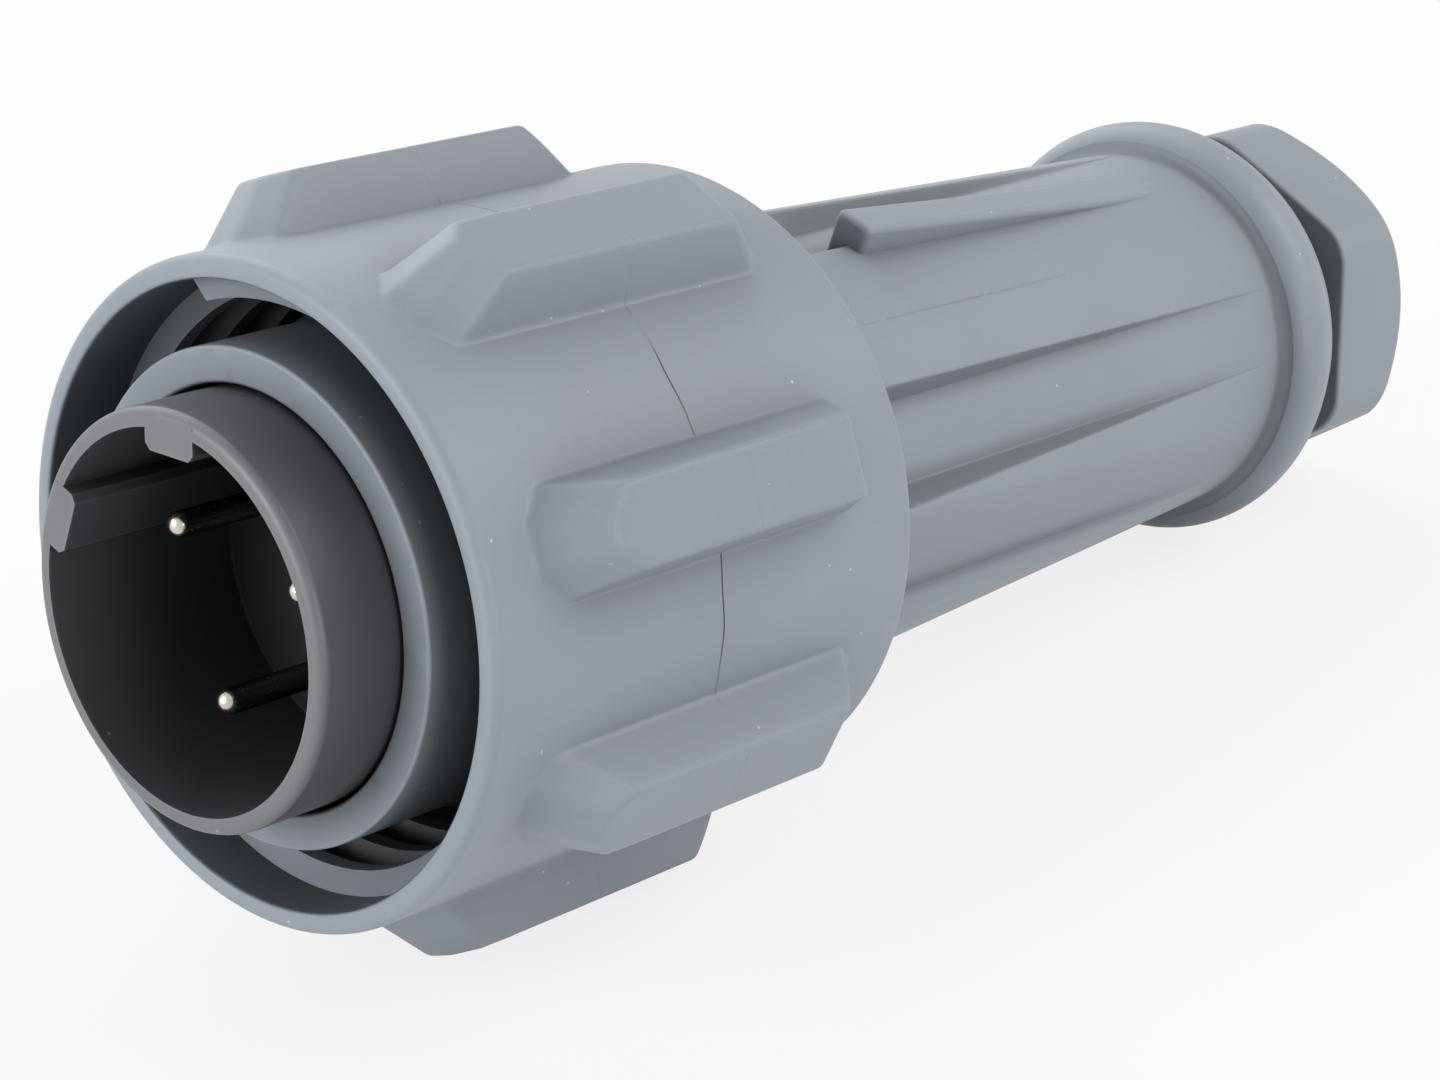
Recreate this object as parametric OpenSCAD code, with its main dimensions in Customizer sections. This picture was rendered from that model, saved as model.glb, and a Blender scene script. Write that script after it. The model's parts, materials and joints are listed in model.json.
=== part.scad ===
// Sealed three-pole cable plug with a ribbed coupling ring and a screwed cable gland.
// The plug's axis runs along X from the mating face to the cable end, with zero at the sleeve's front face.
// The finished plug lies at rest, on two ribs of the ring and on the collar behind the grip.

/* [Coupling ring] */
// Radial room for the mating shell between the sleeve and the ring
mating_gap = 4.25; // [3.8:0.05:4.8]
// Wall of the ring, round at its front lip
ring_wall = 1.6; // [1.2:0.1:2]
// Depth of the inner flange that carries the ring
flange_x = 20; // [18:0.5:22]
// Thickness of the inner flange
flange_t = 4; // [3:0.5:6]
// Length of the ring's skirt behind its flange
skirt_len = 15.6; // [14:0.2:18]
// Chamfer at the ring's rear edge
ring_chamfer = 0.4; // [0.2:0.1:0.7]
// Number of ribs
rib_count = 8; // [7:1:9]
// Height of the ribs
rib_h = 3.9; // [3:0.1:4.6]
// Width of a rib's flat top
rib_w = 5.6; // [4.4:0.2:6.6]
// Lean of a rib's sides
rib_draft = 13.5; // [6:0.5:18]
// Distance from the lip to the foot of the ribs
rib_front = 4.2; // [3:0.2:6]
// Distance from the foot of the ribs to the ring's rear
rib_back = 5; // [3:0.2:7]
// Slope of a rib's two ends
rib_end_slope = 45; // [40:1:60]
// Width left flat at the foot of a rib's nose
rib_nose_w = 3; // [2:0.2:4]
// Turn of the cut corners of a rib's nose
rib_nose_turn = 45; // [35:1:55]
// Slope of those corners
rib_nose_slope = 52; // [46:1:60]

/* [Body] */
// Wall of the sleeve in front of the grip
sleeve_wall = 2.45; // [2.2:0.05:3]
// Height of the grip's shoulder above the sleeve
shoulder_h = 1.55; // [1.2:0.05:2]
// Length of the grip from its shoulder to the collar's crown
grip_len = 74.1; // [66:0.1:82]
// Diameter of the grip at the collar
grip_back_d = 30; // [29:0.2:32]
// Height of the collar's crown above the grip
collar_h = 2.27; // [1.8:0.01:2.8]
// Radius of the crown's front half
crown_front = 2.4; // [2:0.1:3]
// Radius of the crown's rear half
crown_back = 5; // [4:0.2:7]
// Length of the collar behind its crown
collar_back = 2.25; // [1.6:0.05:2.8]
// Fillet where the grip meets the collar
collar_fillet = 1; // [0.6:0.1:1.4]
// How far the step behind the collar lies below the crown
step_low = 1.27; // [1:0.01:3]
// Length of that step
step_len = 1.5; // [1:0.1:2.5]

/* [Flutes and marker ridge] */
// Directions of the flutes, repeated on the opposite side
flute_angles = [2.9, 72.9]; // [-180:0.1:180]
// Width of a flute at the height of its round floor
flute_w = 6.4; // [5:0.1:7]
// Lean of a flute's walls
flute_draft = 38; // [20:1:45]
// Distance of the flutes' start behind the shoulder, under the ring's skirt
flute_back = 5.7; // [3:0.1:10]
// Distance from the place where the flutes run out to the collar's fillet
flute_short = 0.8; // [0.6:0.01:8]
// Direction of the open flutes, whose flat floor has a wall on one side only
open_angle = 118.3; // [105:0.1:130]
// Distance of that wall from the middle of an open flute
open_wall = 1.5; // [0.5:0.1:3]
// How far the open flutes start behind the others
open_lag = 1; // [0.5:0.1:4]
// Direction of the marker ridge
ridge_angle = 16.6; // [10:0.2:25]
// Width of the marker ridge
ridge_w = 3.2; // [2.4:0.1:4]
// Distance of the ridge's blunt front end behind the ring
ridge_back = 12.1; // [6:0.1:18]
// Distance from the place where the ridge runs out to the collar's fillet
ridge_short = 6.28; // [4:0.01:12]
// Height of the ridge above the grip at its front end
ridge_h = 2.1; // [1.4:0.1:2.6]

/* [Insert and contacts] */
// Diameter of the insert
insert_d = 28; // [27:0.1:29]
// Wall of the insert's shroud
shroud_wall = 1.25; // [1:0.05:1.6]
// How far the shroud stands out of the sleeve
shroud_out = 6.3; // [4:0.1:8]
// Rounding of the shroud's rim
rim_round = 0.7; // [0.2:0.05:0.9]
// Depth of the socket in the shroud
socket_depth = 15.3; // [13:0.1:17]
// Thickness of the web that holds the contacts
web_t = 10; // [8:0.5:11]
// Length of the insert behind its web, down to its seat in the body
insert_tail = 11; // [8:0.5:15]
// Wall of the insert there
tail_wall = 1.9; // [1.5:0.1:2.2]
// Directions of the two keys in the shroud
key_angles = [-3, -72]; // [-180:1:180]
// Width of a key at the shroud's wall
key_w = 4.6; // [3.6:0.1:5.4]
// Height of a key
key_h = 1.65; // [1.2:0.05:2]
// Chamfer on a key's two edges
key_chamfer = 0.45; // [0.2:0.05:0.6]
// Diameter of the contact circle
contact_circle_d = 13.8; // [12:0.2:15]
// Direction of the first contact
contact_angle = 64.7; // [0:0.1:120]
// Diameter of a contact pin
pin_d = 1.8; // [1.4:0.1:2.2]
// Diameter of a contact's shank in the web
shank_d = 2.6; // [2.4:0.1:3.2]
// Depth of the pin tips behind the shroud's rim
tip_depth = 4.3; // [3:0.1:6]
// Diameter of a contact's terminal barrel
barrel_d = 4.6; // [4:0.1:5]
// Length of the terminal barrel behind the web
barrel_len = 12; // [10:0.5:14]
// Length of the terminal barrel inside the web
barrel_sunk = 2.5; // [1.5:0.1:4]
// Length of the wire hole in the barrel
wire_hole_len = 11; // [8:0.5:12]
// Diameter of the wire hole
wire_d = 2.6; // [2:0.1:2.8]
// Diameter of a terminal screw
screw_d = 2; // [1.6:0.1:2.2]
// Distance of the terminal screws from the barrel's end
screw_back = 6.6; // [5:0.1:8]
// How far a terminal screw stands out of its barrel
screw_out = 0.8; // [0.4:0.1:1.2]
// Width and depth of a terminal screw's slot
screw_slot = 0.5; // [0.3:0.1:0.7]

/* [Seal and retaining clip] */
// Place of the O-ring on the sleeve
o_ring_x = 13; // [11:0.5:14]
// Section diameter of the O-ring
o_ring_section = 1.8; // [1.5:0.1:2]
// How far the O-ring stands out of its groove
o_ring_out = 0.7; // [0.5:0.1:0.8]
// Thickness of the retaining clip
clip_t = 1.5; // [1:0.1:2]
// Depth of the clip's groove in the sleeve
clip_sunk = 1; // [0.8:0.1:1.2]
// How far the clip stands out of the sleeve
clip_out = 1.8; // [1.5:0.1:2.2]
// Opening of the clip
clip_gap = 8; // [5:0.5:12]

/* [Cable gland] */
// Diameter of the cable that the gland takes
cable_d = 10; // [8:0.5:10.5]
// Wall of the grommet
grommet_wall = 4.3; // [4:0.1:4.5]
// Length of the grommet
grommet_len = 9.5; // [8:0.5:11]
// Chamfer at the grommet's pressed end
grommet_chamfer = 0.9; // [0.5:0.1:1.5]
// Wall between the wiring room and the grommet's seat
gland_wall = 5; // [3:0.5:7]
// Wall of the threaded neck at its root
neck_wall = 1.5; // [1.3:0.1:1.8]
// Height of the gland's thread
thread_h = 0.6; // [0.5:0.05:0.8]
// Length of the clamping cage
cage_len = 7.6; // [6.6:0.2:8]
// Number of the cage's slots
cage_slots = 6; // [4:1:8]
// Width of a slot
cage_slot_w = 1.2; // [0.8:0.1:1.6]
// Depth of the slots
cage_slot_depth = 4.4; // [3:0.2:5]
// Wall of the nut at its flats
nut_wall = 1.7; // [1.4:0.1:2]
// Direction of one flat of the nut
nut_angle = 25.2; // [-30:0.2:30]
// Rounding of the nut's corners
nut_corner = 4; // [2.5:0.1:5]
// Length of the nut
nut_len = 10.9; // [10.4:0.1:13]
// Thickness of the nut's rear wall
nut_floor = 2.6; // [2:0.1:3]
// Rounding of the nut's rear edge
nut_round = 2.4; // [1.6:0.1:2.6]
// Slope of the bevel on the nut's rear corners
nut_bevel = 41; // [30:1:50]
// How far the nut stands off the step behind the collar
nut_gap = 5.05; // [4.6:0.05:6]
// Travel that is left before the gland is tight
nut_travel = 4.125; // [3:0.125:4.25]

/* [Clearances] */
// Between the ring and what it turns on
run_gap = 0.3; // [0.2:0.05:0.4]
// Between the insert and the sleeve
insert_gap = 0.3; // [0.2:0.05:0.4]
// Round the contacts in the insert and the screws in the contacts
contact_gap = 0.05; // [0.03:0.01:0.1]
// Round the clip and the O-ring in their grooves
groove_gap = 0.05; // [0.03:0.01:0.1]
// Round the grommet and the cage in the neck
gland_gap = 0.2; // [0.15:0.05:0.3]
// Between the cage and the faces it is pressed by
cage_gap = 0.2; // [0.1:0.05:0.3]
// Round the cable in the open cage
cage_room = 0.6; // [0.4:0.1:1]
// Round the cable in the body and in the nut
cable_room = 1.2; // [0.8:0.1:1.6]
// Between the neck's end and the nut's rear wall when tight
end_gap = 0.3; // [0.2:0.05:0.4]
// Between the two threads of the gland
thread_gap = 0.2; // [0.15:0.05:0.3]

/* [Hidden] */
$fn = 96;
arc_steps = 8;
overrun = 1;
contact_count = 3;
hex_sides = 6;
plastic_grey = [0.60, 0.63, 0.66];
insert_grey = [0.33, 0.33, 0.34];
contact_metal = [0.80, 0.77, 0.66];
spring_steel = [0.62, 0.62, 0.62];
seal_black = [0.12, 0.12, 0.12];
cage_white = [0.82, 0.82, 0.80];

// Radii from the insert outwards to the ribs
insert_r = insert_d / 2;
insert_bore_r = insert_r + insert_gap;
sleeve_r = insert_bore_r + sleeve_wall;
flange_bore_r = sleeve_r + run_gap;
ring_bore_r = sleeve_r + mating_gap;
ring_r = ring_bore_r + ring_wall;
rib_r = ring_r + rib_h;
rib_root_r = ring_r - ring_wall / 2;

// Stations of the ring
flange_end = flange_x + flange_t;
ring_len = flange_end + skirt_len;
rib_foot_end = ring_len - rib_back;
rib_top_end = rib_foot_end - rib_h / tan(rib_end_slope);
rib_step = 360 / rib_count;

// Radii and stations of the body
shoulder_x = flange_end + run_gap;
grip_front_r = sleeve_r + shoulder_h;
grip_back_r = grip_back_d / 2;
collar_x = shoulder_x + grip_len;
collar_r = grip_back_r + collar_h;
collar_end = collar_x + collar_back;
step_r = collar_r - step_low;
step_end = collar_end + step_len;
crown_start_angle = asin((collar_fillet - collar_h + crown_front) / crown_front);
crown_end_angle = asin(collar_back / crown_back);
fillet_x = collar_x - crown_front * cos(crown_start_angle) - collar_fillet;

// Stations of the flutes and the ridge
flute_start = shoulder_x + flute_back;
flute_end = fillet_x - flute_short;
flute_floor = grip_radius(flute_end);
ridge_start = ring_len + ridge_back;
ridge_end = fillet_x - ridge_short;

// Radii of the gland, from the cable outwards to the nut
cable_r = cable_d / 2;
cable_hole_r = cable_r + cable_room;
cage_bore_r = cable_r + cage_room;
grommet_r = cable_r + grommet_wall;
cage_r = grommet_r;
chamber_r = grommet_r + gland_gap;
neck_r = chamber_r + neck_wall;
nut_bore_r = neck_r + thread_h + thread_gap;
nut_r = nut_bore_r + nut_wall;
hex_step = 360 / hex_sides;
corner_centre = (nut_r - nut_corner) / cos(hex_step / 2);
nut_corner_r = corner_centre + nut_corner;

// Stations of the gland, from the nut's place back to the grommet's seat
nut_front = step_end + nut_gap;
nut_end = nut_front + nut_len;
nut_face = nut_end - nut_floor;
neck_end = nut_face - nut_travel - end_gap;
cage_end = nut_face - cage_gap;
cage_front = cage_end - cage_len;
grommet_end = cage_front - nut_travel - cage_gap;
grommet_seat = grommet_end - grommet_len;
wiring_end = grommet_seat - gland_wall;

// Rear edge of the nut: a round that runs into the bevel on the corners
edge_x = nut_end - nut_round;
edge_r = nut_r - nut_round;
bevel_x = edge_x + nut_round * sin(nut_bevel);
bevel_r = edge_r + nut_round * cos(nut_bevel);

// Radii and stations of the insert and its contacts
socket_r = insert_r - shroud_wall;
socket_end = socket_depth - shroud_out;
web_end = socket_end + web_t;
seat_x = web_end + insert_tail;
wiring_r = insert_r - tail_wall;
contact_circle_r = contact_circle_d / 2;
contact_step = 360 / contact_count;
pin_r = pin_d / 2;
shank_r = shank_d / 2;
pin_tip = tip_depth - shroud_out;
barrel_r = barrel_d / 2;
barrel_start = web_end - barrel_sunk;
barrel_end = web_end + barrel_len;
screw_x = barrel_end - screw_back;

// Grooves in the sleeve
o_ring_r = o_ring_section / 2;
o_ring_centre = sleeve_r + o_ring_out - o_ring_r;
o_ring_groove_r = o_ring_centre - o_ring_r - groove_gap;
o_ring_groove_start = o_ring_x - o_ring_r - groove_gap;
o_ring_groove_end = o_ring_x + o_ring_r + groove_gap;
clip_end = flange_x - run_gap;
clip_start = clip_end - clip_t;
clip_groove_r = sleeve_r - clip_sunk;
clip_in = clip_groove_r + groove_gap;
clip_r = sleeve_r + clip_out;

// Rest: the plug tips back on the rear ends of two ribs until the collar or the nut meets the floor
rib_low = rib_r * cos(rib_step / 2) + rib_w / 2 * sin(rib_step / 2);
crown_run = collar_x - rib_top_end;
crown_rise = rib_low - collar_r + crown_back;
crown_tilt = atan2(crown_rise, crown_run) - asin(crown_back / norm([crown_run, crown_rise]));
corner_run = bevel_x - (nut_corner_r - bevel_r) / tan(nut_bevel) - rib_top_end;
corner_tilt = atan2(rib_low - nut_corner_r, corner_run);
tilt = min(crown_tilt, corner_tilt);
lift = rib_top_end * sin(tilt) + rib_low * cos(tilt);
box_front = (rim_round - shroud_out) * cos(tilt) - (insert_r - rim_round) * sin(tilt) - rim_round;
box_back = edge_x * cos(tilt) + edge_r * sin(tilt) + nut_round;
rest_x = -(box_front + box_back) / 2;

// Radius of the tapered grip at a station
function grip_radius(x) =
    grip_front_r + (grip_back_r - grip_front_r) * (x - shoulder_x) / (fillet_x - shoulder_x);

// Points of an arc in the plane of station and radius
function arc(x, r, size, from, to) =
    [for (i = [0 : arc_steps]) [
        x + size * cos(from + (to - from) * i / arc_steps),
        r + size * sin(from + (to - from) * i / arc_steps)
    ]];

// Lays the plug, drawn along X, on the floor
module laid() {
    translate([rest_x, 0, lift]) rotate([0, tilt, 0]) children();
}

// Turns a profile of radius and station about the plug's axis
module turned() {
    rotate([0, 90, 0]) rotate_extrude() children();
}

// Turns a list of points given as station and radius
module turned_points(points) {
    turned() polygon([for (p = points) [p[1], p[0]]]);
}

// Straight round bar or bore along the axis
module round_bar(r, from, to) {
    translate([from, 0, 0]) rotate([0, 90, 0]) cylinder(r = r, h = to - from);
}

// Draws a section, given across the axis with up as its second direction, along the axis
module along(from, to) {
    translate([from, 0, 0]) rotate([90, 0, 90]) linear_extrude(to - from) children();
}

// Draws a side view, given as station and height, across the axis
module across(width) {
    rotate([90, 0, 0]) linear_extrude(width, center = true) children();
}

// Turns what is drawn at the top to a direction round the axis
module at_angle(angle) {
    rotate([angle, 0, 0]) children();
}

// Section of a bar or groove whose width is given at one height and grows with the lean of its sides
module leaning_section(width, at, lean, low, high) {
    half_low = width / 2 + (at - low) * tan(lean);
    half_high = width / 2 + (at - high) * tan(lean);
    polygon([[-half_low, low], [half_low, low], [half_high, high], [-half_high, high]]);
}

// Everything behind a sloping plane that rises from a foot at the ring's surface
module behind_slope(slope) {
    sunk = ring_r - rib_root_r;
    over = rib_h + overrun;
    across(2 * rib_r) polygon([
        [-sunk / tan(slope), -sunk],
        [over / tan(slope), over],
        [ring_len, over],
        [ring_len, -sunk]
    ]);
}

// Slope that cuts one corner of a rib's nose, on the side given as 1 or -1
module nose_corner(side) {
    translate([rib_front, side * rib_nose_w / 2, ring_r])
        rotate([0, 0, -rib_nose_turn * side]) behind_slope(rib_nose_slope);
}

// One rib at the top of the ring: leaning sides, sloping ends and a nose with cut corners
module grip_rib() {
    intersection() {
        along(0, ring_len) leaning_section(rib_w, rib_r, rib_draft, rib_root_r, rib_r);
        translate([rib_front, 0, ring_r]) behind_slope(rib_end_slope);
        translate([rib_foot_end, 0, ring_r]) mirror([1, 0, 0]) behind_slope(rib_end_slope);
        nose_corner(1);
        nose_corner(-1);
    }
}

module coupling_ring() {
    lip_r = ring_wall / 2;
    chamfer_x = ring_len - ring_chamfer;
    color(plastic_grey) laid() {
        turned() {
            translate([ring_bore_r + lip_r, lip_r]) circle(r = lip_r);
            translate([ring_bore_r, lip_r]) square([ring_wall, chamfer_x - lip_r]);
            translate([ring_bore_r, chamfer_x]) polygon([
                [0, 0],
                [ring_wall, 0],
                [ring_wall - ring_chamfer, ring_chamfer],
                [0, ring_chamfer]
            ]);
            translate([flange_bore_r, flange_x]) square([ring_bore_r + lip_r - flange_bore_r, flange_t]);
        }
        for (i = [0 : rib_count - 1])
            at_angle(180 + rib_step * (i + 0.5)) grip_rib();
    }
}

// Outer form of the body from the sleeve to the neck, with the grooves for seal and clip
module body_form() {
    turned_points(concat(
        [
            [0, 0],
            [0, sleeve_r],
            [o_ring_groove_start, sleeve_r],
            [o_ring_groove_start, o_ring_groove_r],
            [o_ring_groove_end, o_ring_groove_r],
            [o_ring_groove_end, sleeve_r],
            [clip_start - groove_gap, sleeve_r],
            [clip_start - groove_gap, clip_groove_r],
            [clip_end + groove_gap, clip_groove_r],
            [clip_end + groove_gap, sleeve_r],
            [shoulder_x, sleeve_r],
            [shoulder_x, grip_front_r]
        ],
        arc(fillet_x, grip_back_r + collar_fillet, collar_fillet, -90, 0),
        arc(collar_x, collar_r - crown_front, crown_front, 180 - crown_start_angle, 90),
        arc(collar_x, collar_r - crown_back, crown_back, 90, 90 - crown_end_angle),
        [
            [collar_end, step_r],
            [step_end, step_r],
            [step_end, neck_r],
            [neck_end, neck_r],
            [neck_end, 0]
        ]
    ));
}

// Flute cut: a round floor between leaning walls, which runs out where the grip tapers down to it
module flute_cut() {
    along(flute_start, fillet_x) difference() {
        leaning_section(flute_w, flute_floor, -flute_draft, flute_floor - overrun, grip_front_r + overrun);
        circle(r = flute_floor);
    }
}

// Open flute cut: a flat floor level with the others, which runs out at one side and meets a wall at the other
module open_flute_cut() {
    high = grip_front_r + overrun;
    along(flute_start + open_lag, fillet_x) polygon([
        [grip_front_r, flute_floor],
        [-open_wall, flute_floor],
        [-open_wall - (high - flute_floor) * tan(flute_draft), high],
        [grip_front_r, high]
    ]);
}

// Marker ridge with a blunt front end, whose top falls back to the grip
module marker_ridge() {
    root = flute_floor - overrun;
    across(ridge_w) polygon([
        [ridge_start, root],
        [ridge_start, grip_radius(ridge_start) + ridge_h],
        [ridge_end, grip_radius(ridge_end)],
        [ridge_end, root]
    ]);
}

module body_shell() {
    color(plastic_grey) laid() difference() {
        union() {
            difference() {
                body_form();
                for (side = [0, 180]) {
                    for (angle = flute_angles)
                        at_angle(angle + side) flute_cut();
                    at_angle(open_angle + side) open_flute_cut();
                }
            }
            at_angle(ridge_angle) marker_ridge();
        }
        round_bar(insert_bore_r, -overrun, seat_x);
        round_bar(wiring_r, 0, wiring_end);
        round_bar(cable_hole_r, 0, neck_end);
        round_bar(chamber_r, grommet_seat, neck_end + overrun);
    }
}

// Key inside the shroud, level with its rim, with chamfered edges
module shroud_key() {
    low = socket_r - key_h;
    root = socket_r + shroud_wall / 2;
    half = key_w / 2;
    along(-shroud_out, socket_end) polygon([
        [-half, root],
        [-half, low + key_chamfer],
        [-half + key_chamfer, low],
        [half - key_chamfer, low],
        [half, low + key_chamfer],
        [half, root]
    ]);
}

module contact_insert() {
    color(insert_grey) laid() difference() {
        union() {
            turned_points(concat(
                [[-shroud_out, socket_r]],
                arc(rim_round - shroud_out, insert_r - rim_round, rim_round, 180, 90),
                [
                    [seat_x, insert_r],
                    [seat_x, wiring_r],
                    [web_end, wiring_r],
                    [web_end, 0],
                    [socket_end, 0],
                    [socket_end, socket_r]
                ]
            ));
            for (angle = key_angles)
                at_angle(angle) shroud_key();
        }
        for (i = [0 : contact_count - 1])
            at_contact(i) {
                round_bar(shank_r + contact_gap, socket_end - overrun, web_end);
                round_bar(barrel_r + contact_gap, barrel_start, web_end + overrun);
            }
    }
}

// Place of one contact on the contact circle
module at_contact(i) {
    at_angle(contact_angle + contact_step * i) translate([0, 0, contact_circle_r]) children();
}

// Turned contact: a pin with a round tip, a shank and a terminal barrel with a wire hole and a screw hole
module contact(i) {
    color(contact_metal) laid() at_contact(i) difference() {
        union() {
            translate([pin_tip + pin_r, 0, 0]) sphere(r = pin_r);
            round_bar(pin_r, pin_tip + pin_r, socket_end + overrun);
            round_bar(shank_r, socket_end, barrel_start + overrun);
            round_bar(barrel_r, barrel_start, barrel_end);
        }
        round_bar(wire_d / 2, barrel_end - wire_hole_len, barrel_end + overrun);
        translate([screw_x, 0, 0]) cylinder(r = screw_d / 2 + contact_gap, h = barrel_d);
    }
}

// Slotted clamping screw, backed off so that the wire hole is open
module terminal_screw(i) {
    low = wire_d / 2;
    high = barrel_r + screw_out;
    color(contact_metal) laid() at_contact(i) difference() {
        translate([screw_x, 0, low]) cylinder(d = screw_d, h = high - low);
        translate([screw_x - screw_d, -screw_slot / 2, high - screw_slot])
            cube([2 * screw_d, screw_slot, screw_slot + overrun]);
    }
}

module sleeve_o_ring() {
    color(seal_black) laid() turned() translate([o_ring_centre, o_ring_x]) circle(r = o_ring_r);
}

module retaining_clip() {
    color(spring_steel) laid() difference() {
        turned() translate([clip_in, clip_start]) square([clip_r - clip_in, clip_t]);
        at_angle(180) translate([0, -clip_gap / 2, 0]) cube([flange_x + overrun, clip_gap, ring_r]);
    }
}

module gland_grommet() {
    color(seal_black) laid() turned_points([
        [grommet_seat, cable_r],
        [grommet_seat, grommet_r],
        [grommet_end - grommet_chamfer, grommet_r],
        [grommet_end, grommet_r - grommet_chamfer],
        [grommet_end, cable_r]
    ]);
}

// Clamping cage: a collet ring whose slotted fingers press the grommet inwards
module gland_cage() {
    color(cage_white) laid() difference() {
        round_bar(cage_r, cage_front, cage_end);
        round_bar(cage_bore_r, cage_front - overrun, cage_end + overrun);
        for (i = [0 : cage_slots - 1])
            at_angle(360 / cage_slots * i)
                translate([cage_front - overrun, -cage_slot_w / 2, 0])
                    cube([cage_slot_depth + overrun, cage_slot_w, cage_r + overrun]);
    }
}

// Hexagon with round corners, one flat facing up
module round_hexagon() {
    flat = 2 * corner_centre * sin(hex_step / 2);
    for (i = [0 : hex_sides - 1])
        rotate(hex_step * i) {
            translate([-flat / 2, 0]) square([flat, nut_r]);
            translate([flat / 2, nut_r - nut_corner]) circle(r = nut_corner);
        }
}

module gland_nut() {
    over_r = nut_corner_r + overrun;
    color(plastic_grey) laid() difference() {
        intersection() {
            at_angle(nut_angle) along(nut_front, nut_end) round_hexagon();
            turned_points(concat(
                [
                    [nut_front, 0],
                    [nut_front, over_r],
                    [bevel_x - (over_r - bevel_r) / tan(nut_bevel), over_r]
                ],
                arc(edge_x, edge_r, nut_round, 90 - nut_bevel, 0),
                [[nut_end, 0]]
            ));
        }
        round_bar(nut_bore_r, nut_front - overrun, nut_face);
        round_bar(cable_hole_r, nut_front, nut_end + overrun);
    }
}

body_shell();
contact_insert();
contact(0);  // contact_pin_1
contact(1);  // contact_pin_2
contact(2);  // contact_pin_3
terminal_screw(0);  // terminal_screw_1
terminal_screw(1);  // terminal_screw_2
terminal_screw(2);  // terminal_screw_3
sleeve_o_ring();
retaining_clip();
coupling_ring();
gland_grommet();
gland_cage();
gland_nut();
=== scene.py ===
"""Looks of a sealed circular connector: a ribbed coupling ring on a fluted cable plug.

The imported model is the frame. The coupling ring, the body and the gland nut are shown by meshes of the
same sizes with rounded edges, which replace their nodes, and the other nodes are shown as they are.
The marker ridge, the threads and the flash are added as real pieces, and every finish is procedural.
Lengths are millimetres: x runs along the plug's own axis from the sleeve's front face, and angles are
degrees round that axis, from straight up toward the near side. The stage is in metres.
"""
import json
import math

import bpy
import numpy as np
from mathutils import Matrix, Vector


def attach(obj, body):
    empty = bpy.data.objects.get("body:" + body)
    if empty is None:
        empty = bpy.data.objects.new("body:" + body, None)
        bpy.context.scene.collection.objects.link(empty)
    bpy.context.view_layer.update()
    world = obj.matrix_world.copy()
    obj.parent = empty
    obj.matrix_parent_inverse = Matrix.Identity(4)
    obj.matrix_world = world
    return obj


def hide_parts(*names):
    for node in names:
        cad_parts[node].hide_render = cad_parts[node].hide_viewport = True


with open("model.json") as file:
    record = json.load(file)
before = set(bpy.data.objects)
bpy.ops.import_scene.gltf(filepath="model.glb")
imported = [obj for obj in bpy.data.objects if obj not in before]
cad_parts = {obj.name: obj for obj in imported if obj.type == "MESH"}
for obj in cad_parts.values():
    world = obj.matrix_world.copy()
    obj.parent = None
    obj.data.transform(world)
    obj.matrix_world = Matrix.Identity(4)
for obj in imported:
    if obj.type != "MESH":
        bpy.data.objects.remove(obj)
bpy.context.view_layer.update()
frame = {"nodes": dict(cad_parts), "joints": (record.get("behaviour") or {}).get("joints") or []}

MM = 0.001

# Photograph: where the camera stood, in metres in the part's frame
CAMERA_PLACE = (-0.182423, -0.160400, 0.129755)
CAMERA_AIM = (-0.008980, 0.001859, 0.015690)
CAMERA_ROLL = -1.494
CAMERA_CLIP = (0.01, 20.0)
LENS = 87.706
SENSOR = 36.0

# Stage, in metres: each lamp's name, direction, distance, size, level and colour
LAMP_AIM = (-0.01, 0.0, 0.025)
NEAR_COLOUR = (1.0, 1.0, 1.0)
FAR_COLOUR = (0.98, 1.0, 1.03)
LAMPS = (
    ("near_softbox", (0.52, -0.57, 0.64), 0.9, 0.6, 0.46, NEAR_COLOUR),
    ("front_softbox", (-0.90, 0.29, 0.32), 0.9, 0.6, 0.66, FAR_COLOUR),
    ("back_softbox", (0.22, 0.74, 0.64), 1.2, 1.4, 0.68, FAR_COLOUR),
    ("low_softbox", (-0.20, -0.95, 0.22), 0.9, 0.35, 0.27, NEAR_COLOUR),
)
WORLD_LIGHT = 0.24
WORLD_COLOUR = (0.98, 1.0, 1.02)
WHITE = (1.0, 1.0, 1.0)
FLOOR_R = 4.0
FLOOR_SIDES = 96
FLOOR_COLOUR = (0.86, 0.865, 0.87)
FLOOR_GLOW = 0.80  # share of plain white in what is seen of the floor
FLOOR_FADE = (0.2, 0.7)  # distances over which that share rises to all

# Colours of the finishes
GREY = (0.261, 0.292, 0.320)
DARK_GREY = (0.078, 0.081, 0.089)
# painted light: the paler colour of the insert's forward-facing rim
LIT_RIM_GREY = (0.155, 0.158, 0.167)
CONTACT_COLOUR = (0.86, 0.80, 0.66)
SCREW_COLOUR = (0.62, 0.62, 0.61)
SPRING_COLOUR = (0.50, 0.50, 0.50)
CAGE_COLOUR = (0.62, 0.62, 0.60)
RUBBER_BLACK = (0.020, 0.020, 0.021)
FLECK_COLOUR = (0.62, 0.64, 0.65)
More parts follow.
